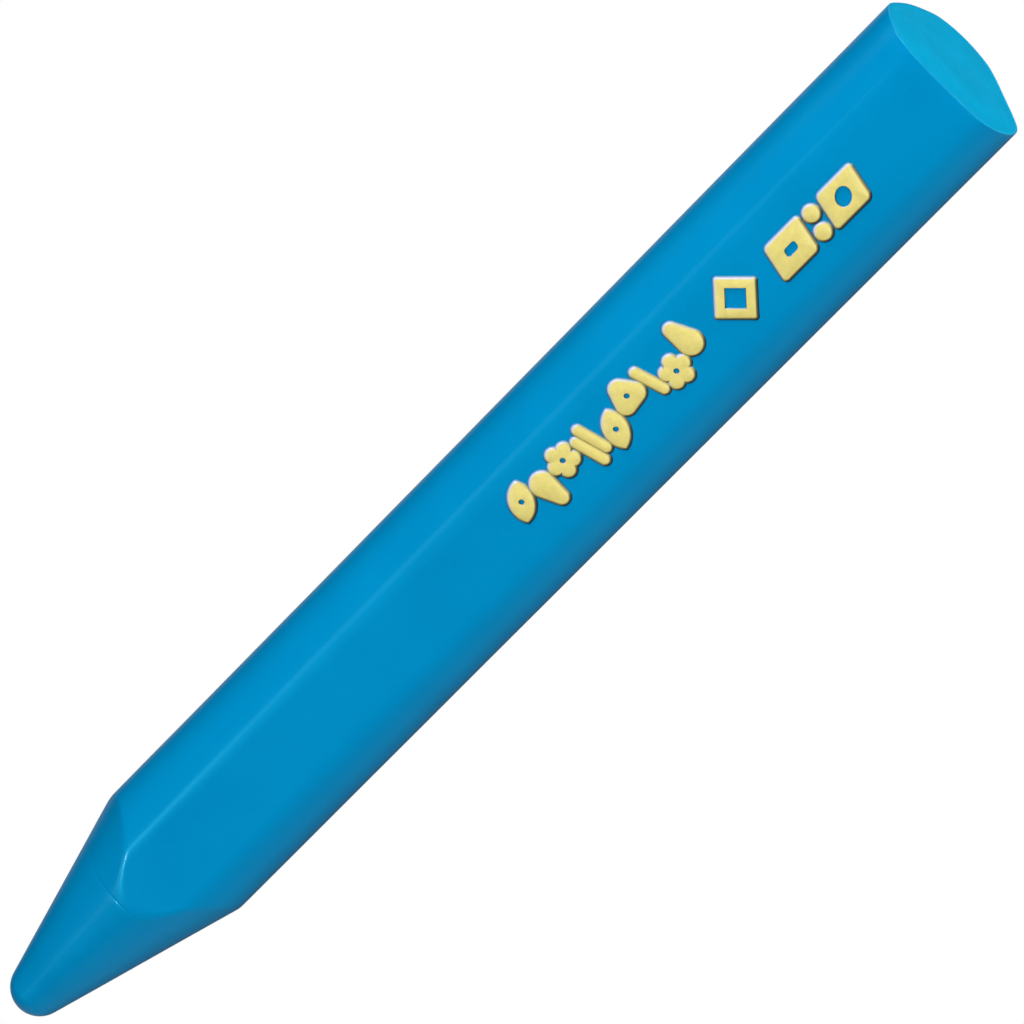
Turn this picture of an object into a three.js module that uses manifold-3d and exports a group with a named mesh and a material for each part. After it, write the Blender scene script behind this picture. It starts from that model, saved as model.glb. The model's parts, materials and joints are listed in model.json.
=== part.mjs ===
// A chunky three-sided plastic crayon, lying on one of its flats.
//
// The crayon is one solid moulding: a rod whose section has three flats and three
// broad round corners, sharpened to a cone with a round nose. Small patches of
// yellow foil are stamped on the flat that looks up and towards -Y.
//
// Millimetres. +X runs from the tip to the cut rear end, +Z is up, and the origin
// is on the resting flat, half way along the crayon.

import * as THREE from "three";
import { mergeVertices } from "three/addons/utils/BufferGeometryUtils.js";
import Module from "manifold-3d";

// ---------------------------------------------------------------- driving sizes

const LENGTH = 90; // tip to rear end
const FACE_DISTANCE = 4.7; // axis to each flat
const FACE_HALF_WIDTH = 2.65; // middle of a flat to the crease beside it
const CREASE_ANGLE = 14.5; // degrees the surface turns where a flat meets a corner
const CONE_HALF_ANGLE = 14.2; // degrees
const NOSE_RADIUS = 1.95;

const SEAM_FROM_TIP = 12.45; // witness line round the cone
const SEAM_WIDTH = 0.16;
const SEAM_DEPTH = 0.05;

const FOIL_THICKNESS = 0.08;
const FOIL_LIFT = 0.02; // clear space between the foil and the plastic under it
const FOIL_MARGIN = 0.7; // least plastic left between the foil row and a crease
const FOIL_STROKE = 0.64; // width of the narrow strokes
const FOIL_WOBBLE = 0.58; // how far the row's marks hop above and below its line
const FOIL_MARK_GAP = 0.12; // space between neighbours in the row
const FOIL_GROUP_GAP = 1.5; // space between the row, the frame and the badge
const FOIL_REAR_MARGIN = 8.1; // rear end to the last mark

const ROW_LINES = 40; // heights at which the row's marks are kept apart

// The row's marks: sizes as shares of a mark's height, and the flower's petals.
const PINHOLE_SHARE = 0.075; // radius of the small hole
const DROP_LOW_SHARE = 0.3; // radius of the drop's round bottom
const DROP_HIGH_SHARE = 0.17; // radius of its top
const FLOWER_SHARE = 0.84; // width of the flower
const FLOWER_PETALS = 5;
const PETAL_SHARE = 0.42; // radius of a petal, as a share of half the flower
const LEAF_SHARE = 0.6; // width of the leaf
const NUT_SHARE = 0.46; // middle of the three-sided nut to its corners
const NUT_CORNER_SHARE = 0.24;

const FRAME_WIDTH = 3.5; // the four-sided outline, corner to corner
const FRAME_STROKE = 0.56;
const FRAME_CORNER = 0.12; // rounding of its outer corners
const FRAME_INNER_CORNER = 0.04;

const BADGE_HEIGHT = 2.4;
const BADGE_SLANT = 14; // degrees that the badge leans towards the rear
const BADGE_BLOCK_WIDTH = 3;
const BADGE_GAP = 0.3; // between its blocks and dots
const BADGE_DOT_GAP = 0.2; // between its two dots
const BADGE_CORNER = 0.3;
const BADGE_SLOT_WIDTH = 1; // the front block's window
const BADGE_SLOT_HEIGHT = 0.62;
const BADGE_SLOT_CORNER = 0.22;
const BADGE_WINDOW_RADIUS = 0.62; // the rear block's window
const BADGE_DROP = 0.3; // the badge sits this much below the middle of the flat

const AROUND = 96; // segments round the cone
const CORNER_SEGMENTS = 24; // segments in each broad corner
const NOSE_SEGMENTS = 14;
const MARK_SEGMENTS = 12; // segments in each arc of a foil outline

const PLASTIC_COLOUR = 0x018ac1;
const FOIL_COLOUR = 0xf0e182;

// ------------------------------------------------------------------- materials

const plastic = new THREE.MeshStandardMaterial({
  color: PLASTIC_COLOUR,
  roughness: 0.42,
  metalness: 0,
});

const foil = new THREE.MeshStandardMaterial({
  color: FOIL_COLOUR,
  roughness: 0.35,
  metalness: 0.25,
});

// ------------------------------------------------------------ solid operations

const wasm = await Module();
wasm.setup();

// A closed mesh as a solid: shared vertices merged, collapsed triangles dropped.
function toSolid(geometry) {
  const bare = geometry.index ? geometry.toNonIndexed() : geometry.clone();
  bare.deleteAttribute("normal");
  bare.deleteAttribute("uv");
  const merged = mergeVertices(bare, 1e-5);
  const index = merged.index.array;
  const kept = [];
  for (let i = 0; i < index.length; i += 3) {
    const [a, b, c] = [index[i], index[i + 1], index[i + 2]];
    if (a !== b && b !== c && c !== a) kept.push(a, b, c);
  }
  const mesh = new wasm.Mesh({
    numProp: 3,
    vertProperties: new Float32Array(merged.attributes.position.array),
    triVerts: new Uint32Array(kept),
  });
  return new wasm.Manifold(mesh);
}

function toGeometry(solid) {
  const mesh = solid.getMesh();
  const geometry = new THREE.BufferGeometry();
  const positions = new THREE.BufferAttribute(mesh.vertProperties, mesh.numProp);
  geometry.setAttribute("position", positions);
  geometry.setIndex(new THREE.BufferAttribute(mesh.triVerts, 1));
  geometry.computeVertexNormals();
  return geometry;
}

// ------------------------------------------------------------------ crayon body

const degrees = THREE.MathUtils.degToRad;
const THIRD_TURN = degrees(120);

// A corner is an arc about a point on the line half way between two flats. Its
// distance from the axis follows from the flat's width and the crease angle.
const crease = degrees(CREASE_ANGLE);
const cornerOffset =
  (FACE_HALF_WIDTH - FACE_DISTANCE * Math.tan(crease)) /
  (Math.sin(THIRD_TURN / 2) - Math.cos(THIRD_TURN / 2) * Math.tan(crease));
const cornerRadius =
  (FACE_DISTANCE - cornerOffset * Math.cos(THIRD_TURN / 2)) / Math.cos(crease);

// The section, with one flat at the bottom; x is across and y is up.
function sectionShape() {
  const shape = new THREE.Shape();
  for (let k = 0; k < 3; k += 1) {
    const middle = -Math.PI / 2 + THIRD_TURN * (k + 0.5);
    const sweep = THIRD_TURN / 2 - crease;
    shape.absarc(
      cornerOffset * Math.cos(middle),
      cornerOffset * Math.sin(middle),
      cornerRadius,
      middle - sweep,
      middle + sweep,
      false,
    );
  }
  shape.closePath();
  return shape;
}

// The rod, from the tip's plane to the rear end, about the X axis.
function rod() {
  const geometry = new THREE.ExtrudeGeometry(sectionShape(), {
    depth: LENGTH,
    bevelEnabled: false,
    curveSegments: CORNER_SEGMENTS,
  });
  const turn = new THREE.Matrix4().makeBasis(
    new THREE.Vector3(0, 1, 0),
    new THREE.Vector3(0, 0, 1),
    new THREE.Vector3(1, 0, 0),
  );
  geometry.applyMatrix4(turn);
  return geometry;
}

// The turned form that sharpens the rod: round nose, cone with its witness groove,
// then straight back past the rod's corners.
function sharpener() {
  const slope = degrees(CONE_HALF_ANGLE);
  const apex = NOSE_RADIUS - NOSE_RADIUS / Math.sin(slope);
  const radiusAt = (x) => (x - apex) * Math.tan(slope);
  const widest = cornerOffset + cornerRadius + 1;
  const profile = [];
  for (let k = 0; k <= NOSE_SEGMENTS; k += 1) {
    const angle = (Math.PI / 2 - slope) * (k / NOSE_SEGMENTS);
    const x = NOSE_RADIUS * (1 - Math.cos(angle));
    profile.push(new THREE.Vector2(NOSE_RADIUS * Math.sin(angle), x));
  }
  const before = SEAM_FROM_TIP - SEAM_WIDTH / 2;
  const after = SEAM_FROM_TIP + SEAM_WIDTH / 2;
  profile.push(new THREE.Vector2(radiusAt(before), before));
  profile.push(new THREE.Vector2(radiusAt(SEAM_FROM_TIP) - SEAM_DEPTH, SEAM_FROM_TIP));
  profile.push(new THREE.Vector2(radiusAt(after), after));
  profile.push(new THREE.Vector2(widest, apex + widest / Math.tan(slope)));
  profile.push(new THREE.Vector2(widest, LENGTH + 1));
  profile.push(new THREE.Vector2(0, LENGTH + 1));
  profile[0].x = 0;
  const geometry = new THREE.LatheGeometry(profile, AROUND);
  geometry.rotateZ(-Math.PI / 2);
  return geometry;
}

function crayonBody() {
  const solid = toSolid(rod()).intersect(toSolid(sharpener()));
  const mesh = new THREE.Mesh(toGeometry(solid), plastic);
  mesh.name = "crayon_body";
  mesh.position.set(-LENGTH / 2, 0, FACE_DISTANCE);
  return mesh;
}

// ------------------------------------------------------------------ foil outlines
// Each outline is drawn about its own middle; x runs along the crayon towards the
// rear and y runs up the stamped flat.

// Two discs one above the other and the straight sides between them.
function dropShape(height, lowRadius, highRadius) {
  const low = lowRadius - height / 2;
  const high = height / 2 - highRadius;
  const lean = Math.asin((lowRadius - highRadius) / (high - low));
  const shape = new THREE.Shape();
  shape.absarc(0, low, lowRadius, Math.PI - lean, lean, false);
  shape.absarc(0, high, highRadius, lean, Math.PI - lean, false);
  shape.closePath();
  return shape;
}

// Two arcs that meet in a point above and below.
function leafShape(width, height) {
  const radius = (width ** 2 + height ** 2) / (4 * width);
  const half = Math.asin(height / 2 / radius);
  const middle = radius - width / 2;
  const shape = new THREE.Shape();
  shape.absarc(-middle, 0, radius, -half, half, false);
  shape.absarc(middle, 0, radius, Math.PI - half, Math.PI + half, false);
  shape.closePath();
  return shape;
}

// A ring of round petals.
function flowerShape(width, petals) {
  const petal = (width / 2) * PETAL_SHARE;
  const centre = width / 2 - petal;
  const half = Math.PI / petals;
  const valley =
    centre * Math.cos(half) + Math.sqrt(petal ** 2 - (centre * Math.sin(half)) ** 2);
  const bulge = Math.atan2(
    valley * Math.sin(half),
    valley * Math.cos(half) - centre,
  );
  const shape = new THREE.Shape();
  for (let k = 0; k < petals; k += 1) {
    const out = Math.PI / 2 + 2 * half * k;
    shape.absarc(
      centre * Math.cos(out),
      centre * Math.sin(out),
      petal,
      out - bulge,
      out + bulge,
      false,
    );
  }
  shape.closePath();
  return shape;
}

// A regular figure with round corners, one corner at the top.
function roundedFigure(path, sides, reach, radius) {
  const half = Math.PI / sides;
  const centre = reach - radius;
  for (let k = 0; k < sides; k += 1) {
    const out = Math.PI / 2 + 2 * half * k;
    path.absarc(
      centre * Math.cos(out),
      centre * Math.sin(out),
      radius,
      out - half,
      out + half,
      false,
    );
  }
  path.closePath();
  return path;
}

function roundedBox(path, width, height, radius) {
  const [x, y] = [width / 2 - radius, height / 2 - radius];
  path.absarc(x, y, radius, 0, Math.PI / 2, false);
  path.absarc(-x, y, radius, Math.PI / 2, Math.PI, false);
  path.absarc(-x, -y, radius, Math.PI, 1.5 * Math.PI, false);
  path.absarc(x, -y, radius, 1.5 * Math.PI, 2 * Math.PI, false);
  path.closePath();
  return path;
}

function discPath(path, radius) {
  path.absarc(0, 0, radius, 0, 2 * Math.PI, false);
  return path;
}

function withHole(shape, hole) {
  shape.holes.push(hole);
  return shape;
}

// ------------------------------------------------------------------ foil patches

const ROW_HEIGHTS = Array.from(
  { length: ROW_LINES + 1 },
  (_, k) => FACE_HALF_WIDTH * ((2 * k) / ROW_LINES - 1),
);

const stampedFace = new THREE.Group();
stampedFace.position.set(LENGTH / 2, 0, FACE_DISTANCE);
stampedFace.rotation.x = THIRD_TURN / 2;

// One patch of foil; along is measured back from the rear end, up from the middle
// of the flat, and slant leans the patch's top towards the rear.
function addFoil(name, shape, { along, up = 0, tilt = 0, slant = 0 }) {
  const geometry = new THREE.ExtrudeGeometry(shape, {
    depth: FOIL_THICKNESS,
    bevelEnabled: false,
    curveSegments: MARK_SEGMENTS,
  });
  const lean = new THREE.Matrix4().makeShear(0, 0, Math.tan(degrees(slant)), 0, 0, 0);
  geometry.applyMatrix4(lean);
  const mesh = new THREE.Mesh(geometry, foil);
  mesh.name = name;
  mesh.position.set(-along, up, FACE_DISTANCE + FOIL_LIFT);
  mesh.rotation.z = degrees(tilt);
  stampedFace.add(mesh);
}

// The badge: two leaning blocks with windows, and two dots between them.
function addBadge() {
  const slot = roundedBox(
    new THREE.Path(),
    BADGE_SLOT_WIDTH,
    BADGE_SLOT_HEIGHT,
    BADGE_SLOT_CORNER,
  );
  const dotRadius = (BADGE_HEIGHT - BADGE_DOT_GAP) / 4;
  const place = { up: -BADGE_DROP, slant: BADGE_SLANT };
  const rearBlock = FOIL_REAR_MARGIN + BADGE_BLOCK_WIDTH / 2;
  const dots = rearBlock + BADGE_BLOCK_WIDTH / 2 + BADGE_GAP + dotRadius;
  const frontBlock = dots + dotRadius + BADGE_GAP + BADGE_BLOCK_WIDTH / 2;
  const dotRise = BADGE_HEIGHT / 2 - dotRadius;
  const dotShift = dotRise * Math.tan(degrees(BADGE_SLANT));

  const block = () =>
    roundedBox(new THREE.Shape(), BADGE_BLOCK_WIDTH, BADGE_HEIGHT, BADGE_CORNER);
  const roundWindow = discPath(new THREE.Path(), BADGE_WINDOW_RADIUS);
  addFoil("foil_badge_front_block", withHole(block(), slot), {
    ...place,
    along: frontBlock,
  });
  addFoil("foil_badge_upper_dot", discPath(new THREE.Shape(), dotRadius), {
    along: dots - dotShift,
    up: dotRise - BADGE_DROP,
  });
  addFoil("foil_badge_lower_dot", discPath(new THREE.Shape(), dotRadius), {
    along: dots + dotShift,
    up: -dotRise - BADGE_DROP,
  });
  addFoil("foil_badge_rear_block", withHole(block(), roundWindow), {
    ...place,
    along: rearBlock,
  });
  return frontBlock + BADGE_BLOCK_WIDTH / 2;
}

// The frame: a four-sided outline standing on one corner.
function addFrame(start) {
  const along = start + FOIL_GROUP_GAP + FRAME_WIDTH / 2;
  const reach = FRAME_WIDTH / 2;
  const inner = reach - FRAME_STROKE * Math.SQRT2;
  const outline = roundedFigure(new THREE.Shape(), 4, reach, FRAME_CORNER);
  const opening = roundedFigure(new THREE.Path(), 4, inner, FRAME_INNER_CORNER);
  addFoil("foil_frame", withHole(outline, opening), { along });
  return along + FRAME_WIDTH / 2;
}

// How far a tilted, lifted outline reaches along the crayon at each of some heights:
// its least (side -1) or greatest (side 1) x, or nothing where it has no width.
function reach(shape, tilt, lift, side) {
  const points = shape.getPoints(MARK_SEGMENTS).map((p) => {
    const turned = p.clone().rotateAround(new THREE.Vector2(), degrees(tilt));
    return turned.add(new THREE.Vector2(0, lift));
  });
  return ROW_HEIGHTS.map((y) => {
    let best = null;
    points.forEach((from, k) => {
      const to = points[(k + 1) % points.length];
      if (from.y > y === to.y > y) return;
      const x = from.x + ((to.x - from.x) * (y - from.y)) / (to.y - from.y);
      if (best === null || side * x > side * best) best = x;
    });
    return best;
  });
}

// The row: playful rounded marks that hop about the middle of the flat. Each one
// is slid towards the tip until it clears the one before it.
function addRow(start) {
  const height = 2 * (FACE_HALF_WIDTH - FOIL_MARGIN - FOIL_WOBBLE);
  const pinhole = () => discPath(new THREE.Path(), height * PINHOLE_SHARE);
  const forms = {
    drop: () => dropShape(height, height * DROP_LOW_SHARE, height * DROP_HIGH_SHARE),
    bar: () => dropShape(height, FOIL_STROKE / 2, FOIL_STROKE / 2),
    flower: () => withHole(flowerShape(height * FLOWER_SHARE, FLOWER_PETALS), pinhole()),
    leaf: () => withHole(leafShape(height * LEAF_SHARE, height), pinhole()),
    nut: () => {
      const [out, corner] = [height * NUT_SHARE, height * NUT_CORNER_SHARE];
      return withHole(roundedFigure(new THREE.Shape(), 3, out, corner), pinhole());
    },
  };
  // Each mark's form, its tilt in degrees and how far it hops, as a share.
  const row = [
    ["drop", 12, 1],
    ["flower", -10, -1],
    ["bar", 16, 0.3],
    ["nut", 8, 0.9],
    ["leaf", -20, -0.8],
    ["bar", 14, 0.3],
    ["bar", 14, -0.5],
    ["flower", 20, 0.9],
    ["drop", 190, -0.3],
    ["leaf", -30, 0.9],
  ];
  let edge = ROW_HEIGHTS.map(() => -start - FOIL_GROUP_GAP);
  row.forEach(([form, tilt, hop], k) => {
    const shape = forms[form]();
    const up = hop * FOIL_WOBBLE;
    const right = reach(shape, tilt, up, 1);
    const left = reach(shape, tilt, up, -1);
    const room = right.map((x, i) => (x === null ? Infinity : edge[i] - x));
    const middle = Math.min(...room);
    addFoil(`foil_row_${form}_${k + 1}`, shape, { along: -middle, up, tilt });
    const behind = middle + Math.max(...right.filter((x) => x !== null));
    edge = left.map((x) => (x === null ? behind : middle + x) - FOIL_MARK_GAP);
  });
}

const badgeEnd = addBadge();
const frameEnd = addFrame(badgeEnd);
addRow(frameEnd);

// ------------------------------------------------------------------------ crayon

const crayon = new THREE.Group();
crayon.add(crayonBody());
crayon.add(stampedFace);

export default crayon;
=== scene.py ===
"""A chunky three-sided plastic crayon with pale foil marks stamped on one flat.

The crayon lies on a flat with its tip towards -X. Its body is turned like a real
crayon blank, from a nose, a cone and a long barrel, and then takes its three flats.
The foil patches are raised and rounded from the outlines that the frame holds.
"""

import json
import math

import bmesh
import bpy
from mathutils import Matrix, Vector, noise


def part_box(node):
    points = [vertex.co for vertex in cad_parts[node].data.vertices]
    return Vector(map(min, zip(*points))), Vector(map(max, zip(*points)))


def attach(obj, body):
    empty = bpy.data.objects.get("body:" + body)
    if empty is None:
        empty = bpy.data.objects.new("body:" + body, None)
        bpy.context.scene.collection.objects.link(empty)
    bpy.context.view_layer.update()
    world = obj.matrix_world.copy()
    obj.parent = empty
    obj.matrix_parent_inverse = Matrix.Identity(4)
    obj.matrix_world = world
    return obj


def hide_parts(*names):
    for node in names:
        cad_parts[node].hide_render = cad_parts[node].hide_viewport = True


bl_info = {
    "name": "Three-sided crayon",
    "version": (1, 0, 0),
    "blender": (4, 5, 0),
    "location": "3D View > Sidebar > Crayon",
    "description": "Models a three-sided crayon and its stamped foil around a fixed frame",
    "category": "Object",
}

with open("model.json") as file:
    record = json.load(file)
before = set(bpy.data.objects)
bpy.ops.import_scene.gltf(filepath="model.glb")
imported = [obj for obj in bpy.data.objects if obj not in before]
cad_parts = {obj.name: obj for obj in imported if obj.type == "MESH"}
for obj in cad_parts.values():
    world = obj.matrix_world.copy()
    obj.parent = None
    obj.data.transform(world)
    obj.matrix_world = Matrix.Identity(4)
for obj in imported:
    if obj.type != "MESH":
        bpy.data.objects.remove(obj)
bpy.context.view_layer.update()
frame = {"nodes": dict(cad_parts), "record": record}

MM = 0.001
THIRD_TURN = math.radians(120)

# ---------------------------------------------------------------- from the frame

BODY_LOW, BODY_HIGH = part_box("crayon_body")
MOUNTS = {mount["name"]: mount for mount in frame["record"]["mounts"]}
AXIS_HEIGHT = MOUNTS["cut_end"]["pos_m"][2]
CORNER_REACH = BODY_HIGH.z - AXIS_HEIGHT
LENGTH = BODY_HIGH.x - BODY_LOW.x
TIP = Vector((BODY_LOW.x, 0, AXIS_HEIGHT))
STAMPED_NORMAL = Vector((0, -math.sin(THIRD_TURN / 2), math.cos(THIRD_TURN / 2)))
# Way that the painted highlight on the foil comes from; the painted shadow falls on the other
# side.
PAINTED_LIGHT_WAY = Vector((-0.17, 0.49, 0.85)).normalized()  # up the flat, a little to the tip

ROW_NODES = sorted(name for name in frame["nodes"] if name.startswith("foil_row_"))
BADGE_NODES = sorted(name for name in frame["nodes"] if name.startswith("foil_badge_"))


# -------------------------------------------------------------------- properties


def length_property(name, description, millimetres):
    """A distance the user may set, given here in millimetres."""
    return bpy.props.FloatProperty(
        name=name,
        description=description,
        default=millimetres * MM,
        unit="LENGTH",
        subtype="DISTANCE",
        precision=5,
    )


def angle_property(name, description, degrees):
    """An angle the user may set, given here in degrees."""
    return bpy.props.FloatProperty(
        name=name,
        description=description,
        default=math.radians(degrees),
        unit="ROTATION",
        subtype="ANGLE",
    )


def colour_property(name, description, colour):
    """A linear colour the user may set."""
    return bpy.props.FloatVectorProperty(
        name=name,
        description=description,
        default=colour,
        size=3,
        min=0,
        max=1,
        subtype="COLOR",
    )


def share_property(name, description, share):
    """A share from 0 to 1 that the user may set."""
    return bpy.props.FloatProperty(
        name=name, description=description, default=share, min=0, max=1, subtype="FACTOR"
    )


class CrayonBodySettings(bpy.types.PropertyGroup):
    """Sizes of the moulding that the frame's box doesn't give."""

    crease_angle: angle_property(
        "Crease angle", "How far the surface turns where a flat meets a corner", 14.5
    )
    crease_width_tip: length_property(
        "Crease width, tip", "Width of the rounding along a crease near the tip", 0.5
    )
    crease_width_rear: length_property(
        "Crease width, rear", "Width of the rounding along a crease near the rear", 3.0
    )
    cone_half_angle: angle_property("Cone half angle", "Slope of the cone", 14.2)
    nose_radius: length_property("Nose radius", "Radius of the round nose", 1.95)
    shoulder_width: length_property(
        "Shoulder width", "Width of the rounding where a flat meets the cone", 0.7
    )
    seam_from_tip: length_property("Seam from tip", "Tip to the witness line", 12.45)
    seam_width: length_property("Seam width", "Width of the witness line", 0.24)
    seam_depth: length_property("Seam depth", "Depth of the witness line", 0.02)
    back_belly: length_property(
        "Back belly", "How far the hidden upper flat bellies out at the rear", 0.25
    )
    cut_turn: angle_property("Cut turn", "How far the cut turns towards the front", 1.4)
    cut_lean: angle_property("Cut lean", "How far the cut leans in at the bottom", 1.1)
    cut_sag: length_property("Cut sag", "How far the cut dips at the stamped flat", 0.22)
    cut_reach: length_property("Cut reach", "Length of barrel that the cut has pulled", 3.0)
    rim_radius: length_property("Rim radius", "Rounding of the cut end's edge", 0.07)
    burr_width: length_property("Burr width", "Width of the lip left by the cut", 0.07)
    burr_height: length_property("Burr height", "Height of the lip left by the cut", 0.03)
    waviness: length_property("Waviness", "How far the moulded skin strays", 0.012)
    around: bpy.props.IntProperty(
        name="Segments around", description="Faces round the crayon", default=360, min=48
    )


class CrayonPlasticSettings(bpy.types.PropertyGroup):
    """Finish of the moulded plastic."""

    colour: colour_property("Colour", "Moulded plastic", (0.0, 0.21, 0.447))
    cut_colour: colour_property("Cut colour", "Plastic where it was cut", (0.0, 0.3, 0.52))
    # Partly the real lip of the cut and partly a painted highlight along it, used palest at the
    # stamped flat.
    burr_and_highlight_colour: colour_property("Burr colour", "Lip that the cut left", (0.03, 0.46, 0.72))
    glint: colour_property("Gloss tint", "Tint of the gloss", (0.0, 0.8, 1.0))
    gloss: share_property("Gloss", "Strength of the thin glossy skin", 0.08)
    roughness: share_property("Roughness", "Roughness of the moulded skin", 0.3)
    cut_roughness: share_property("Cut roughness", "Roughness of the cut end", 0.7)


class CrayonFoilSettings(bpy.types.PropertyGroup):
    """Sizes and finish of the stamped foil, with the highlight and shadow painted round its
    edges.
    """

    rise: length_property("Rise", "Height of the foil above the flat", 0.14)
    shoulder: length_property("Shoulder", "Width of its rounded edge", 0.07)
    # The foot is a sheet past the outline that carries the painted highlight on the upper side
    # and the painted shadow below.
    foot: length_property("Foot", "How far it thins out past its outline", 0.2)
    sink: length_property("Sink", "How deep its edge is pressed into the flat", 0.02)
    colour: colour_property("Colour", "Foil", (0.63, 0.54, 0.16))
    # Painted highlight: pale lilac laid on the foil's edge on the side up the flat.
    painted_highlight_edge: colour_property("Lit edge", "Thin foil on the upper side", (0.5, 0.58, 0.86))
    # Painted shade on the foil's lower edge, and a painted shadow on the foot past it, down the
    # flat.
    painted_shade_edge: colour_property("Dark edge", "Thin foil on the lower side", (0.12, 0.1, 0.04))
    painted_shadow_foot: colour_property("Dark foot", "Pressed plastic on that side", (0.0, 0.02, 0.04))
    roughness: share_property("Roughness", "Roughness of the foil", 0.4)


class CrayonStageSettings(bpy.types.PropertyGroup):
    """Camera, light and floor."""

    aim: bpy.props.FloatVectorProperty(
        name="Aim",
        description="The point that the camera looks at",
        default=(3.989 * MM, -0.121 * MM, 4.7 * MM),
        size=3,
        precision=5,
        unit="LENGTH",
        subtype="XYZ",
    )
    distance: length_property("Distance", "Camera to the aim point", 406.149)
    azimuth: angle_property("Azimuth", "0 looks along +Y, 90 degrees along -X", 24.986)
    elevation: angle_property("Elevation", "Camera above the floor", 34.356)
    roll: angle_property("Roll", "Camera turned about its own axis", 59.981)
    lens: bpy.props.FloatProperty(
        name="Lens", description="Focal length", default=225.83, unit="CAMERA"
    )
    dome: bpy.props.FloatProperty(
        name="Dome light", description="Light from all round", default=0.0, min=0
    )
    floor_size: length_property("Floor size", "Width of the floor", 4000)


# --------------------------------------------------------------- form of the body

ACROSS_FLAT = 1.5  # turns an angle so that corners fall on 0 and pi, flats between
CORNER_CRISPNESS = 0.7  # share of the shoulder's rounding that is lost at a corner
SEAM_LEAST = 0.1  # depth of the witness line away from the stamped flat, as a share
SEAM_FADE = 1.6  # how fast it gets there
BLANK_REACH = 1.3  # radius of the blank before its flats are taken, in corner reaches
STRAY_ALONG = 9 * MM  # length of one cell of the skin's noise along the barrel
STRAY_AROUND = 1.3  # radius of the section in cells of that noise

# Rings of the body, closest where it bends.
NOSE_RINGS = 22
CONE_PITCH = 0.4 * MM
SEAM_RINGS = 10
SHOULDER_PITCH = 0.05 * MM
CONE_END_PITCH = 0.08 * MM
BARREL_PITCH = 1.2 * MM
RIM_RINGS = 6
LIP_RINGS = 6
LIP_PITCH = 0.35  # in widths of the lip
CUT_RINGS = 16


def smooth_least(first, second, softness):
    """The smaller of two lengths, rounded over where they come within softness."""
    if softness <= 0:
        return min(first, second)
    near = max(softness - abs(first - second), 0) / softness
    return min(first, second) - near * near * softness / 4


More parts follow.
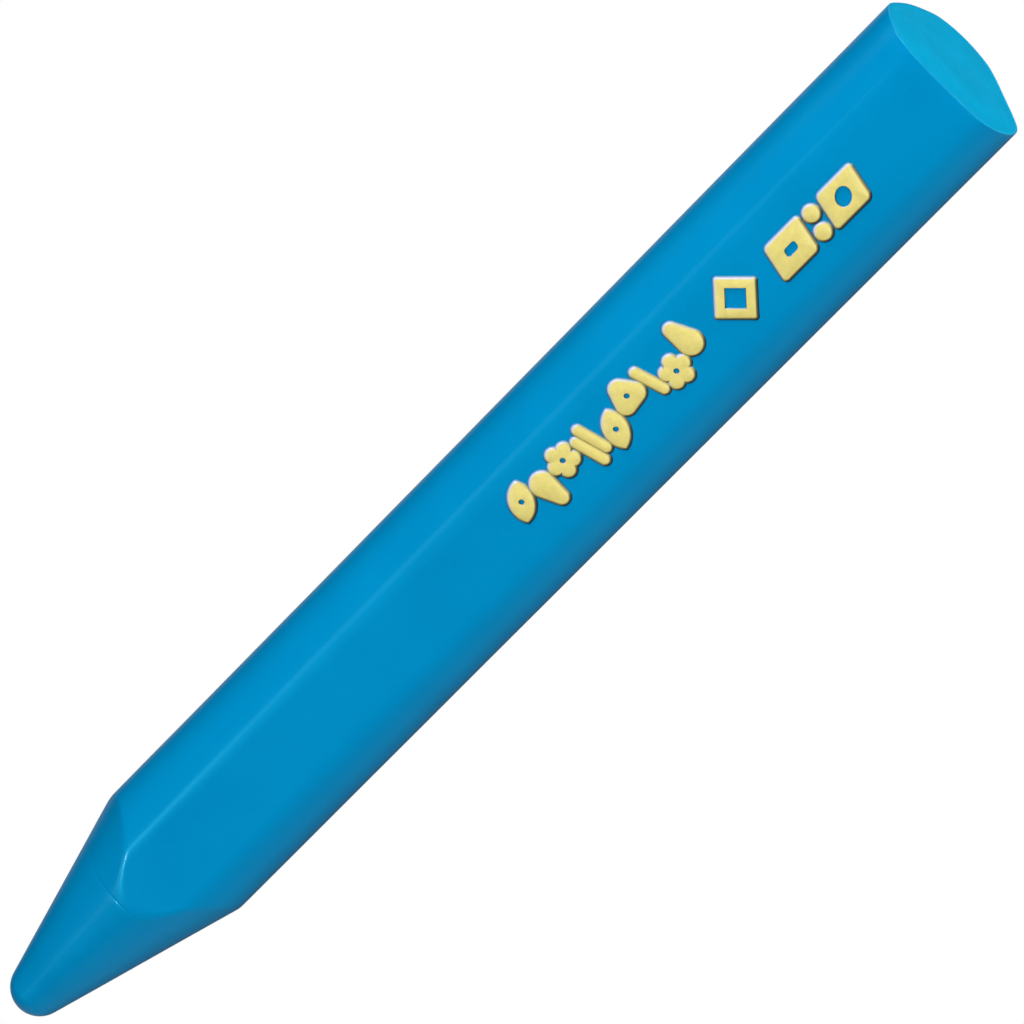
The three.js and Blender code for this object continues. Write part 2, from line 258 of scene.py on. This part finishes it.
class BodyForm:
    """Radius of the crayon at each place: section, cone, nose, seam and rim."""

    def __init__(self, sizes):
        self.sizes = sizes
        crease = sizes.crease_angle
        half = THIRD_TURN / 2
        self.corner_radius = (AXIS_HEIGHT - CORNER_REACH * math.cos(half)) / (
            math.cos(crease) - math.cos(half)
        )
        self.corner_offset = CORNER_REACH - self.corner_radius
        # Past the crease the corner goes on straight, so that it never dips
        # below the flat again.
        self.tangent_angle = half - crease
        self.tangent_distance = (
            self.corner_offset * math.cos(self.tangent_angle) + self.corner_radius
        )
        self.crease_polar = half - math.atan2(
            self.corner_offset * math.sin(half) + self.corner_radius * math.sin(crease),
            AXIS_HEIGHT,
        )
        slope = sizes.cone_half_angle
        self.nose_end = sizes.nose_radius * (1 - math.sin(slope))
        self.apex = sizes.nose_radius * (1 - 1 / math.sin(slope))
        self.shoulder_start = self.apex + AXIS_HEIGHT / math.tan(slope)
        self.shoulder_end = self.apex + CORNER_REACH / math.tan(slope)

    def section_radius(self, angle, along):
        """Radius of the barrel at an angle from the upper corner."""
        sizes = self.sizes
        off = abs((angle + THIRD_TURN / 2) % THIRD_TURN - THIRD_TURN / 2)
        share = along / LENGTH
        flat = AXIS_HEIGHT / math.cos(THIRD_TURN / 2 - off)
        if 0 < angle < THIRD_TURN:
            flat += sizes.back_belly * share * math.sin(ACROSS_FLAT * angle) ** 2
        if off <= self.crease_polar:
            lever = self.corner_offset * math.sin(off)
            corner = self.corner_offset * math.cos(off) + math.sqrt(
                self.corner_radius**2 - lever**2
            )
        else:
            corner = self.tangent_distance / math.cos(off - self.tangent_angle)
        width = sizes.crease_width_tip * (1 - share) + sizes.crease_width_rear * share
        return smooth_least(flat, corner, width / 2 * math.tan(sizes.crease_angle))

    def turned_radius(self, along, seam=1.0):
        """Radius of the turned blank: nose, cone and then clear of the barrel."""
        sizes = self.sizes
        if along <= self.nose_end:
            return math.sqrt(max(0, along * (2 * sizes.nose_radius - along)))
        radius = (along - self.apex) * math.tan(sizes.cone_half_angle)
        off_seam = abs(along - sizes.seam_from_tip) / (sizes.seam_width / 2)
        if off_seam < 1:
            radius -= seam * sizes.seam_depth * (1 + math.cos(math.pi * off_seam)) / 2
        return min(radius, CORNER_REACH * BLANK_REACH)

    def rim_inset(self, along):
        """How far the rounded rim stands in from the barrel."""
        rim = self.sizes.rim_radius
        past = max(0, along - (LENGTH - rim))
        return rim - math.sqrt(max(0, rim * rim - past * past))

    def radius(self, angle, along):
        """Radius of the finished crayon, with the slight stray of its skin."""
        sizes = self.sizes
        section = self.section_radius(angle, along)
        kept = 1 - CORNER_CRISPNESS * math.cos(ACROSS_FLAT * angle) ** 2
        softness = kept * sizes.shoulder_width * math.tan(sizes.cone_half_angle)
        from_flat = max(0, math.cos(SEAM_FADE * (angle + THIRD_TURN / 2)))
        seam = SEAM_LEAST + (1 - SEAM_LEAST) * from_flat
        radius = smooth_least(section, self.turned_radius(along, seam), softness)
        around = (math.cos(angle) * STRAY_AROUND, math.sin(angle) * STRAY_AROUND)
        place = Vector((along / STRAY_ALONG, *around))
        stray = noise.noise(place) * sizes.waviness * min(1, along / sizes.nose_radius)
        return radius + stray - self.rim_inset(along)

    def places(self):
        """Distances from the tip at which the body has a ring, closest where it bends."""
        sizes = self.sizes
        found = []
        for step in range(NOSE_RINGS + 1):
            turn = (math.pi / 2 - sizes.cone_half_angle) * step / NOSE_RINGS
            found.append(sizes.nose_radius * (1 - math.cos(turn)))

        def run(end, pitch):
            """Rings at about one pitch, from the last ring up to end."""
            start = found[-1]
            steps = max(1, round((end - start) / pitch))
            for step in range(steps):
                found.append(start + (end - start) * (step + 1) / steps)

        run(sizes.seam_from_tip - sizes.seam_width / 2, CONE_PITCH)
        run(sizes.seam_from_tip + sizes.seam_width / 2, sizes.seam_width / SEAM_RINGS)
        run(self.shoulder_start + sizes.shoulder_width, SHOULDER_PITCH)
        run(self.shoulder_end + sizes.shoulder_width, CONE_END_PITCH)
        run(LENGTH - sizes.rim_radius, BARREL_PITCH)
        for step in range(RIM_RINGS):
            turn = math.pi / 2 * (step + 1) / RIM_RINGS
            found.append(LENGTH - sizes.rim_radius * (1 - math.sin(turn)))
        return found

    def end_shares(self):
        """Sizes of the rings on the cut face, as shares of its outline, to its middle."""
        step = LIP_PITCH * self.sizes.burr_width / CORNER_REACH
        lip = [1 - step * (count + 1) for count in range(LIP_RINGS)]
        face = [lip[-1] * (1 - (count + 1) / CUT_RINGS) for count in range(CUT_RINGS)]
        return lip + face


# ------------------------------------------------------------------ mesh handling

TOUCH = 0.001 * MM  # places closer than this are one place
WELD = 0.0001 * MM  # points of the spun outline closer than this become one
LIP_SLOPE = 0.7  # width of the slope inside the lip, in widths of the lip
# The lip's painted highlight grows towards the stamped flat and stays plain on the other sides.
BURR_SWELL = 1.6  # how fast the lip pales towards the stamped flat
BURR_START = 0.2  # taken off, so that it stays plain on the other sides
CUT_STRAY = 2.5 * MM  # size of one cell of the noise over the cut face


def finish_mesh(bm, name, body="root"):
    """A new piece from a bmesh, smooth, in the collection and riding on a body."""
    mesh = bpy.data.meshes.new(name)
    bm.to_mesh(mesh)
    bm.free()
    piece = bpy.data.objects.new(name, mesh)
    bpy.context.scene.collection.objects.link(piece)
    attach(piece, body)
    return piece


def turned_blank(bm, form):
    """Spins the outline of the blank about the crayon's axis, its flat end included."""
    outline = [(along, form.turned_radius(along)) for along in form.places()]
    widest = outline[-1][1]
    outline += [(LENGTH, widest * share) for share in form.end_shares()]
    verts = [bm.verts.new((along, 0, radius)) for along, radius in outline]
    edges = [bm.edges.new(pair) for pair in zip(verts, verts[1:])]
    bmesh.ops.spin(
        bm,
        geom=verts + edges,
        cent=(0, 0, 0),
        axis=(1, 0, 0),
        angle=2 * math.pi,
        steps=form.sizes.around,
        use_merge=True,
    )
    bmesh.ops.remove_doubles(bm, verts=bm.verts, dist=WELD)


def take_flats(bm, form):
    """Brings each ring in to the three-sided section, the shoulder and the rim."""
    for vert in bm.verts:
        turned = math.hypot(vert.co.y, vert.co.z)
        if turned < TOUCH:
            continue
        angle = math.atan2(vert.co.y, vert.co.z)
        scale = form.radius(angle, vert.co.x) / form.turned_radius(vert.co.x)
        vert.co.y *= scale
        vert.co.z *= scale


def slant_end(bm, form):
    """Pulls the last stretch of the barrel so that its end is askew and dips."""
    sizes = form.sizes
    for vert in bm.verts:
        near = vert.co.x - (LENGTH - sizes.cut_reach)
        if near > 0:
            askew = vert.co.y * math.tan(sizes.cut_turn) + vert.co.z * math.tan(sizes.cut_lean)
            towards = max(0, vert.co.dot(STAMPED_NORMAL) / AXIS_HEIGHT)
            askew -= sizes.cut_sag * towards**2
            vert.co.x += askew * near / sizes.cut_reach


def shear_end(bm, form):
    """Leaves the thin lip of the cut round a lower face, with a painted highlight on the lip
    that is palest at the stamped flat.
    """
    sizes = form.sizes
    lip = 1 - sizes.burr_width / CORNER_REACH
    floor = lip - LIP_SLOPE * sizes.burr_width / CORNER_REACH
    layer = bm.verts.layers.float.new("burr_and_highlight")
    for face in bm.faces:
        if min(vert.co.x for vert in face.verts) > LENGTH - TOUCH:
            face.material_index = 1
    for vert in bm.verts:
        if vert.co.x < LENGTH - TOUCH:
            continue
        share = math.hypot(vert.co.y, vert.co.z) / form.radius(
            math.atan2(vert.co.y, vert.co.z), LENGTH
        )
        sunk = min(1, max(0, (lip - share) / (lip - floor)))
        towards = Vector((0, vert.co.y, vert.co.z)).dot(STAMPED_NORMAL) / AXIS_HEIGHT
        # Share of the painted highlight on the lip: none inside it, most towards the stamped
        # flat.
        vert[layer] = (1 - sunk) * min(1, max(0, BURR_SWELL * towards - BURR_START))
        stray = noise.noise(Vector(vert.co) / CUT_STRAY) * sizes.waviness
        vert.co.x -= sunk * (sizes.burr_height - stray)


# ---------------------------------------------------------------------- materials

NOISE_BAND = (0.3, 0.7)  # where nearly all of a noise lies
LIP_PATCH_BAND = (0.35, 0.6)
SPECK_BAND = (0.72, 0.78)
SPECK_MOST = 0.5
SPECK_KEPT, SPECK_WHITE = 0.8, 0.1  # the cut's own colour in a speck, and what it gains
LIP_PATCH_LEAST = 0.1
BLADE_GLOSS = 0.08
RIM_SHADE = 0.8
BLADE_STRETCH = 0.12
BLADE_TURN = math.radians(35)

# Over the foil's edge, 0 on top and 1 at its foot.
RIM_BAND = (0.02, 0.35)
FOOT_BAND = (0.4, 0.9)
PLASTIC_BAND = (0.85, 1.0)

# Round its outline, 1 on the side that gets the painted highlight and -1 on the side that gets
# the painted shadow.
LIT_BAND = (0.1, 0.8)
DARK_BAND = (-0.7, 0.0)


class NodeBench:
    """Short hands for laying out one material's nodes."""

    def __init__(self, name):
        self.material = bpy.data.materials.new(name)
        self.material.use_nodes = True
        self.tree = self.material.node_tree
        self.shader = self.tree.nodes["Principled BSDF"]
        self.object_place = self.tree.nodes.new("ShaderNodeTexCoord").outputs["Object"]

    def link(self, source, target):
        """Joins an output to an input."""
        self.tree.links.new(source, target)

    def place(self, scale, turn=(0, 0, 0)):
        """Object coordinates, scaled along each axis."""
        mapping = self.tree.nodes.new("ShaderNodeMapping")
        mapping.inputs["Scale"].default_value = scale
        mapping.inputs["Rotation"].default_value = turn
        self.link(self.object_place, mapping.inputs["Vector"])
        return mapping.outputs["Vector"]

    def noise(self, vector, scale, detail=3.0, roughness=0.55):
        """A soft noise from 0 to 1."""
        node = self.tree.nodes.new("ShaderNodeTexNoise")
        node.inputs["Scale"].default_value = scale
        node.inputs["Detail"].default_value = detail
        node.inputs["Roughness"].default_value = roughness
        self.link(vector, node.inputs["Vector"])
        return node.outputs["Fac"]

    def range(self, value, low, high, to_low, to_high):
        """Maps a value's range onto another, held at its ends."""
        node = self.tree.nodes.new("ShaderNodeMapRange")
        node.inputs["From Min"].default_value = low
        node.inputs["From Max"].default_value = high
        node.inputs["To Min"].default_value = to_low
        node.inputs["To Max"].default_value = to_high
        self.link(value, node.inputs["Value"])
        return node.outputs["Result"]

    def mottled(self, value, colour, spread):
        """A colour that a noise makes a little darker and lighter."""
        share = self.range(value, *NOISE_BAND, 0, 1)
        return self.blend(share, shade(colour, 1 - spread), shade(colour, 1 + spread))

    def wander(self, value, middle, spread):
        """A number that a noise moves to both sides of its middle."""
        return self.math("ADD", self.range(value, *NOISE_BAND, -spread, spread), middle)

    def math(self, operation, first, second):
        """One step of arithmetic on two values; a number is set on its socket."""
        node = self.tree.nodes.new("ShaderNodeMath")
        node.operation = operation
        for socket, value in zip(node.inputs, (first, second)):
            if isinstance(value, (int, float)):
                socket.default_value = value
            else:
                self.link(value, socket)
        return node.outputs["Value"]

    def blend(self, share, first, second):
        """Mixes two colours; each is a colour or another node's output."""
        node = self.tree.nodes.new("ShaderNodeMix")
        node.data_type = "RGBA"
        self.link(share, node.inputs["Factor"])
        for socket, value in ((node.inputs[6], first), (node.inputs[7], second)):
            if isinstance(value, bpy.types.NodeSocket):
                self.link(value, socket)
            else:
                socket.default_value = (*value, 1)
        return node.outputs[2]

    def attribute(self, name):
        """A value that the mesh holds at its points."""
        node = self.tree.nodes.new("ShaderNodeAttribute")
        node.attribute_name = name
        return node.outputs["Fac"]

    def bump(self, height, distance, strength, below=None):
        """Bump from a height, in metres, on top of another bump."""
        node = self.tree.nodes.new("ShaderNodeBump")
        node.inputs["Strength"].default_value = strength
        node.inputs["Distance"].default_value = distance
        self.link(height, node.inputs["Height"])
        if below is not None:
            self.link(below, node.inputs["Normal"])
        return node.outputs["Normal"]

    def set(self, **values):
        """Sets the shader's own sockets."""
        for key, value in values.items():
            self.shader.inputs[key.replace("_", " ")].default_value = value

    def join(self, **sources):
        """Links values to the shader's sockets."""
        for key, value in sources.items():
            self.link(value, self.shader.inputs[key.replace("_", " ")])


def shade(colour, share):
    """A colour made lighter or darker."""
    return tuple(min(1.0, channel * share) for channel in colour)


def moulded_plastic(finish):
    """Satin moulded skin: faint cloudiness and a fine grain."""
    bench = NodeBench("moulded_plastic")
    even = bench.place((1, 1, 1))
    cloud = bench.noise(even, scale=160, detail=3)
    grain = bench.noise(even, scale=5200, detail=2)
    peel = bench.bump(cloud, distance=0.02 * MM, strength=0.5)
    bench.join(
        Base_Color=bench.mottled(cloud, finish.colour, spread=0.03),
        Roughness=bench.wander(cloud, finish.roughness, spread=0.03),
        Normal=bench.bump(grain, distance=0.003 * MM, strength=0.5, below=peel),
    )
    bench.set(Specular_Tint=(*finish.glint, 1), Specular_IOR_Level=0.4, IOR=1.48)
    bench.set(Coat_Weight=finish.gloss, Coat_Roughness=0.14, Coat_IOR=1.5)
    return bench.material


def cut_plastic(finish):
    """Matte sheared face: blade lines one way, pale specks and a pale lip, partly real and
    partly a painted highlight, in patches.
    """
    bench = NodeBench("cut_plastic")
    even = bench.place((1, 1, 1))
    across = bench.place((1, BLADE_STRETCH, 1), (BLADE_TURN, 0, 0))
    cloud = bench.noise(even, scale=420, detail=4)
    blade = bench.noise(across, scale=2400, detail=3)
    specks = bench.noise(even, scale=5200, detail=1)
    lip_patches = bench.noise(even, scale=700, detail=2)
    pale = tuple(SPECK_KEPT * channel + SPECK_WHITE for channel in finish.cut_colour)
    speckled = bench.blend(
        bench.range(specks, *SPECK_BAND, 0, SPECK_MOST),
        bench.mottled(cloud, finish.cut_colour, spread=0.07),
        pale,
    )
    # The lip's colour, partly real and partly a painted highlight, broken into patches by a
    # noise.
    burr_and_highlight = bench.math(
        "MULTIPLY", bench.attribute("burr_and_highlight"), bench.range(lip_patches, *LIP_PATCH_BAND, LIP_PATCH_LEAST, 1)
    )
    smoothest = finish.cut_roughness - BLADE_GLOSS
    lines = bench.bump(blade, distance=0.008 * MM, strength=0.6)
    bench.join(
        Base_Color=bench.blend(burr_and_highlight, speckled, tuple(finish.burr_and_highlight_colour)),
        Roughness=bench.range(blade, *NOISE_BAND, smoothest, finish.cut_roughness),
        Normal=bench.bump(cloud, distance=0.03 * MM, strength=0.5, below=lines),
    )
    bench.set(Specular_Tint=(*finish.glint, 1), Specular_IOR_Level=0.06, IOR=1.48)
    return bench.material


def foil_and_painted_edge_light(finish):
    """Pale foil that fades into the plastic over its foot, with painted light on its edge: a
    painted highlight, lilac, on the upper side and painted shade and shadow, dark, below.
    """
    bench = NodeBench("foil_and_painted_edge_light")
    even = bench.place((1, 1, 1))
    mottle = bench.noise(even, scale=2600, detail=3)
    grain = bench.noise(even, scale=9000, detail=2)
    top = bench.mottled(mottle, finish.colour, spread=0.06)
    edge = bench.attribute("foil_edge")
    side = bench.attribute("foil_painted_light_side")
    # Shares of painted highlight (upper) and of painted shade and shadow (lower), from how each
    # edge faces the painted light's way.
    upper = bench.range(side, *LIT_BAND, 0, 1)
    lower = bench.range(side, *DARK_BAND, 1, 0)
    # The shoulder starts from the foil's colour made darker, then takes a painted highlight,
    # pale lilac, on the side that faces the painted light's way.
    rim = bench.blend(upper, shade(finish.colour, RIM_SHADE), tuple(finish.painted_highlight_edge))
    # Painted shade: the shoulder turns dark on the side away from the painted light.
    rim = bench.blend(lower, rim, tuple(finish.painted_shade_edge))
    plastic = tuple(bpy.context.scene.crayon_plastic.colour)
    # Painted shadow: the foot past the outline is dark on the side away from the painted light,
    # plain plastic elsewhere.
    foot = bench.blend(lower, plastic, tuple(finish.painted_shadow_foot))
    tint = bench.blend(bench.range(edge, *RIM_BAND, 0, 1), top, rim)
    tint = bench.blend(bench.range(edge, *FOOT_BAND, 0, 1), tint, foot)
    tint = bench.blend(bench.range(edge, *PLASTIC_BAND, 0, 1), tint, plastic)
    bench.join(
        Base_Color=tint,
        Roughness=bench.wander(mottle, finish.roughness, spread=0.05),
        Normal=bench.bump(grain, distance=0.006 * MM, strength=0.5),
    )
    bench.set(Specular_IOR_Level=0.25)
    return bench.material


def material_once(name, make, finish):
    """The named material, made the first time that it is asked for."""
    return bpy.data.materials.get(name) or make(finish)


# --------------------------------------------------------------------- foil marks

HOLE_SPREAD = 0.35  # share of the foot that a hole gets
TOP_PULL = 0.4  # share of the foot by which an outline's high edge stands back
STRAIGHT = math.radians(1)
WALL_FACING = 0.5  # a face turned further from the flat's normal is a wall
TOP_FACING = 0.9
SLOPE_FACING = 0.8
SHOULDER_STEPS = 4


def foil_walls(bm):
    """The patch's upright faces, one list for its outline and one for each hole."""
    waiting = {face for face in bm.faces if abs(face.normal.dot(STAMPED_NORMAL)) < WALL_FACING}
    walls = []
    while waiting:
        wall = [waiting.pop()]
        for face in wall:
            for edge in face.edges:
                beside = [other for other in edge.link_faces if other in waiting]
                waiting.difference_update(beside)
                wall.extend(beside)
        walls.append(wall)
    return walls


def spread_foot(wall, is_low, foot):
    """Moves a wall's low edge outwards, and its high edge back where it is no hole."""
    verts = {vert for face in wall for vert in face.verts}
    middle = sum((vert.co for vert in verts), Vector()) / len(verts)
    outwards = {}
    for vert in verts:
        faces = [face for face in vert.link_faces if face in wall]
        outwards[vert] = sum((face.normal for face in faces), Vector()).normalized()
    is_hole = sum(way.dot(vert.co - middle) for vert, way in outwards.items()) < 0
    for vert, way in outwards.items():
        # The low edge spreads out into the foot, which carries the painted highlight and
        # shadow.
        if is_low[vert]:
            vert.co += way * foot * (HOLE_SPREAD if is_hole else 1)
        elif not is_hole:
            vert.co -= way * foot * TOP_PULL


def foil_patch(node_name, finish):
    """Raises and rounds the outline that the frame holds into one piece of foil."""
    bm = bmesh.new()
    bm.from_mesh(frame["nodes"][node_name].data)
    bmesh.ops.remove_doubles(bm, verts=bm.verts, dist=TOUCH)
    bmesh.ops.dissolve_limit(bm, angle_limit=STRAIGHT, verts=bm.verts, edges=bm.edges)
    bm.normal_update()
    on_axis = Vector((0, 0, AXIS_HEIGHT))
    heights = [(vert.co - on_axis).dot(STAMPED_NORMAL) - AXIS_HEIGHT for vert in bm.verts]
    middle = (min(heights) + max(heights)) / 2
    is_low = {}
    for vert, height in zip(bm.verts, heights):
        is_low[vert] = height < middle
        wanted = -finish.sink if is_low[vert] else finish.rise
        vert.co += STAMPED_NORMAL * (wanted - height)
    bm.normal_update()
    for wall in foil_walls(bm):
        spread_foot(wall, is_low, finish.foot)
    bm.normal_update()
    rim = [
        edge
        for edge in bm.edges
        if len(edge.link_faces) == 2
        and max(face.normal.dot(STAMPED_NORMAL) for face in edge.link_faces) > TOP_FACING
        and abs(min(face.normal.dot(STAMPED_NORMAL) for face in edge.link_faces)) < SLOPE_FACING
    ]
    bmesh.ops.bevel(
        bm,
        geom=rim,
        offset=finish.shoulder,
        offset_type="OFFSET",
        segments=SHOULDER_STEPS,
        profile=0.5,
        affect="EDGES",
        material=-1,
        clamp_overlap=True,
    )
    bmesh.ops.triangulate(bm, faces=[face for face in bm.faces if len(face.verts) > 4])
    edge_layer = bm.verts.layers.float.new("foil_edge")
    painted_light_side_layer = bm.verts.layers.float.new("foil_painted_light_side")
    bm.normal_update()
    for vert in bm.verts:
        height = (vert.co - on_axis).dot(STAMPED_NORMAL) - AXIS_HEIGHT
        outwards = vert.normal - STAMPED_NORMAL * vert.normal.dot(STAMPED_NORMAL)
        vert[edge_layer] = min(1, max(0, 1 - height / finish.rise))
        # How far each point's edge faces the painted light's way: this sets where the painted
        # highlight and shadow go.
        vert[painted_light_side_layer] = outwards.normalized().dot(PAINTED_LIGHT_WAY)
    for face in bm.faces:
        face.smooth = True
    piece = finish_mesh(bm, node_name.replace("foil_", "stamped_"))
    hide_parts(node_name)
    piece.data.materials.append(material_once("foil_and_painted_edge_light", foil_and_painted_edge_light, finish))
    return piece


# -------------------------------------------------------------------------- stage

# The soft lights: azimuth and elevation in degrees, as for the camera, then the
# width in metres and the power in watts.
SOFTBOXES = {
    "top_softbox": (108, 62, 0.2, 2.1),
    "front_softbox": (20, 12, 0.2, 1.5),
    "rear_softbox": (100, 12, 0.2, 1.0),
    "rear_front_softbox": (60, 12, 0.2, 0.42),
    "ridge_softbox": (-30, 47, 0.14, 0.09),
    "glint_softbox": (-44, 34, 0.03, 0.7),
    "cone_softbox": (-66, 36, 0.1, 0.1),
    "back_softbox": (180, 62, 0.2, 0.08),
}
SOFTBOX_DISTANCE = 0.5
SENSOR_WIDTH = 36
CLIP_START, CLIP_END = 0.01, 10
FLOOR_GREY = 0.25
FLOOR_ROUGHNESS = 0.9
FLOOR_SQUARES = 8


def direction(azimuth, elevation):
    """From the crayon outwards; azimuth 0 is -Y, and 90 degrees is +X."""
    level = math.cos(elevation)
    return Vector(
        (math.sin(azimuth) * level, -math.cos(azimuth) * level, math.sin(elevation))
    )


def turned_camera(stage):
    """The camera, aimed from its azimuth, elevation, distance and roll."""
    back = direction(stage.azimuth, stage.elevation)
    level = Vector((0, 0, 1)).cross(back).normalized()
    upright = back.cross(level)
    right = level * math.cos(stage.roll) - upright * math.sin(stage.roll)
    up = level * math.sin(stage.roll) + upright * math.cos(stage.roll)
    data = bpy.data.cameras.new("camera")
    data.lens = stage.lens
    data.sensor_width = SENSOR_WIDTH
    data.clip_start = CLIP_START
    data.clip_end = CLIP_END
    camera = bpy.data.objects.new("camera", data)
    turn = Matrix((right, up, back)).transposed().to_4x4()
    camera.matrix_world = Matrix.Translation(Vector(stage.aim) + back * stage.distance) @ turn
    bpy.context.scene.collection.objects.link(camera)
    bpy.context.scene.camera = camera
    return camera


def softbox(name, azimuth, elevation, size, power):
    """A square soft light that shines at the middle of the crayon."""
    data = bpy.data.lights.new(name, "AREA")
    data.shape = "SQUARE"
    data.size = size
    data.energy = power
    lamp = bpy.data.objects.new(name, data)
    away = direction(math.radians(azimuth), math.radians(elevation))
    lamp.location = Vector((0, 0, AXIS_HEIGHT)) + away * SOFTBOX_DISTANCE
    lamp.rotation_euler = away.to_track_quat("Z", "Y").to_euler()
    bpy.context.scene.collection.objects.link(lamp)
    return lamp


def white_to_camera(tree, shader, output, glow_kind):
    """Shows a plain white where the camera looks straight at a surface or the sky."""
    path = tree.nodes.new("ShaderNodeLightPath")
    glow = tree.nodes.new(glow_kind)
    glow.inputs["Color"].default_value = (1, 1, 1, 1)
    glow.inputs["Strength"].default_value = 1
    mix = tree.nodes.new("ShaderNodeMixShader")
    tree.links.new(path.outputs["Is Camera Ray"], mix.inputs["Fac"])
    tree.links.new(shader.outputs[0], mix.inputs[1])
    tree.links.new(glow.outputs[0], mix.inputs[2])
    tree.links.new(mix.outputs[0], output.inputs["Surface"])


def pale_floor(stage):
    """A wide plain floor that reads as clean white."""
    bm = bmesh.new()
    bmesh.ops.create_grid(
        bm, x_segments=FLOOR_SQUARES, y_segments=FLOOR_SQUARES, size=stage.floor_size / 2
    )
    mesh = bpy.data.meshes.new("floor")
    bm.to_mesh(mesh)
    bm.free()
    floor = bpy.data.objects.new("floor", mesh)
    bpy.context.scene.collection.objects.link(floor)
    material = bpy.data.materials.new("white_floor")
    material.use_nodes = True
    tree = material.node_tree
    shader = tree.nodes["Principled BSDF"]
    shader.inputs["Base Color"].default_value = (FLOOR_GREY, FLOOR_GREY, FLOOR_GREY, 1)
    shader.inputs["Roughness"].default_value = FLOOR_ROUGHNESS
    shader.inputs["Specular IOR Level"].default_value = 0
    white_to_camera(tree, shader, tree.nodes["Material Output"], "ShaderNodeEmission")
    mesh.materials.append(material)
    return floor


def soft_world(stage):
    """An even dome that reads as white; how much light it gives is a setting."""
    world = bpy.data.worlds.new("dome")
    world.use_nodes = True
    tree = world.node_tree
    shader = tree.nodes["Background"]
    shader.inputs["Color"].default_value = (1, 1, 1, 1)
    shader.inputs["Strength"].default_value = stage.dome
    white_to_camera(tree, shader, tree.nodes["World Output"], "ShaderNodeBackground")
    bpy.context.scene.world = world


# ---------------------------------------------------------------------- operators


class CRAYON_OT_stage(bpy.types.Operator):
    """Set the camera, the soft lights and the pale floor"""

    bl_idname = "crayon.stage"
    bl_label = "Set the stage"

    def execute(self, context):
        stage = context.scene.crayon_stage
        turned_camera(stage)
        soft_world(stage)
        pale_floor(stage)
        for name, light in SOFTBOXES.items():
            softbox(name, *light)
        context.scene.view_settings.view_transform = "Standard"
        return {"FINISHED"}


class CRAYON_OT_body(bpy.types.Operator):
    """Model the moulded body with its cone, flats, seam and cut end"""

    bl_idname = "crayon.body"
    bl_label = "Crayon body"

    def execute(self, context):
        form = BodyForm(context.scene.crayon_body)
        finish = context.scene.crayon_plastic
        bm = bmesh.new()
        turned_blank(bm, form)
        take_flats(bm, form)
        shear_end(bm, form)
        slant_end(bm, form)
        bmesh.ops.translate(bm, verts=bm.verts, vec=TIP)
        bmesh.ops.recalc_face_normals(bm, faces=bm.faces)
        for face in bm.faces:
            face.smooth = True
        piece = finish_mesh(bm, "moulded_body")
        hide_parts("crayon_body")
        piece.data.materials.append(material_once("moulded_plastic", moulded_plastic, finish))
        piece.data.materials.append(material_once("cut_plastic", cut_plastic, finish))
        return {"FINISHED"}


class CRAYON_OT_foil_row(bpy.types.Operator):
    """Raise the row of small foil marks"""

    bl_idname = "crayon.foil_row"
    bl_label = "Foil row"

    def execute(self, context):
        for name in ROW_NODES:
            foil_patch(name, context.scene.crayon_foil)
        return {"FINISHED"}


class CRAYON_OT_foil_frame(bpy.types.Operator):
    """Raise the outlined foil figure"""

    bl_idname = "crayon.foil_frame"
    bl_label = "Foil frame"

    def execute(self, context):
        foil_patch("foil_frame", context.scene.crayon_foil)
        return {"FINISHED"}


class CRAYON_OT_foil_badge(bpy.types.Operator):
    """Raise the bold foil group near the rear"""

    bl_idname = "crayon.foil_badge"
    bl_label = "Foil badge"

    def execute(self, context):
        for name in BADGE_NODES:
            foil_patch(name, context.scene.crayon_foil)
        return {"FINISHED"}


class CRAYON_PT_panel(bpy.types.Panel):
    """Lists the crayon's pieces and their settings"""

    bl_label = "Crayon"
    bl_idname = "CRAYON_PT_panel"
    bl_space_type = "VIEW_3D"
    bl_region_type = "UI"
    bl_category = "Crayon"

    def draw(self, context):
        layout = self.layout
        for operator in OPERATORS:
            layout.operator(operator.bl_idname)
        for owner, settings in SETTINGS.items():
            box = layout.box()
            box.label(text=settings.__doc__.rstrip("."))
            for field in settings.__annotations__:
                box.prop(getattr(context.scene, owner), field)


OPERATORS = (
    CRAYON_OT_stage,
    CRAYON_OT_body,
    CRAYON_OT_foil_row,
    CRAYON_OT_foil_frame,
    CRAYON_OT_foil_badge,
)
SETTINGS = {
    "crayon_body": CrayonBodySettings,
    "crayon_plastic": CrayonPlasticSettings,
    "crayon_foil": CrayonFoilSettings,
    "crayon_stage": CrayonStageSettings,
}


def register():
    for settings in SETTINGS.values():
        bpy.utils.register_class(settings)
    for owner, settings in SETTINGS.items():
        setattr(bpy.types.Scene, owner, bpy.props.PointerProperty(type=settings))
    for operator in OPERATORS:
        bpy.utils.register_class(operator)
    bpy.utils.register_class(CRAYON_PT_panel)


def unregister():
    bpy.utils.unregister_class(CRAYON_PT_panel)
    for operator in reversed(OPERATORS):
        bpy.utils.unregister_class(operator)
    for owner, settings in SETTINGS.items():
        delattr(bpy.types.Scene, owner)
        bpy.utils.unregister_class(settings)


def main():
    register()
    bpy.ops.crayon.stage()
    bpy.ops.crayon.body()
    bpy.ops.crayon.foil_row()
    bpy.ops.crayon.foil_frame()
    bpy.ops.crayon.foil_badge()


if __name__ == "__main__":
    main()
